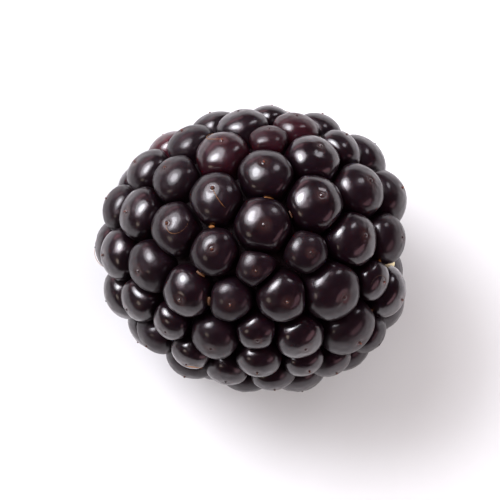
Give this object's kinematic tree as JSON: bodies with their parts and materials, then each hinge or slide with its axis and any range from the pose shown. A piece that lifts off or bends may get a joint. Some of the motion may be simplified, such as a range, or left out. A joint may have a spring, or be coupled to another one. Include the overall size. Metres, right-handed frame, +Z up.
{
  "type": "bramble berry",
  "caption": "Ripe bramble berry lying on its side: an egg-shaped cluster of glossy domed drupelets round a pale receptacle scar.",
  "frame": {"origin": "on the surface that the berry lies on, under the middle of its bounding box", "axes": "+X from the tip towards the stem end along the berry's length, +Z up"},
  "size_m": [0.0252, 0.0232, 0.0231],
  "materials": {
    "drupelet_skin": "thin glossy fruit skin, near-black purple",
    "receptacle": "dull pale green-white flesh",
    "dried_style": "dull dry brown thread"
  },
  "bodies": {
    "root": {"berry": "drupelet_skin"}
  },
  "joints": []
}
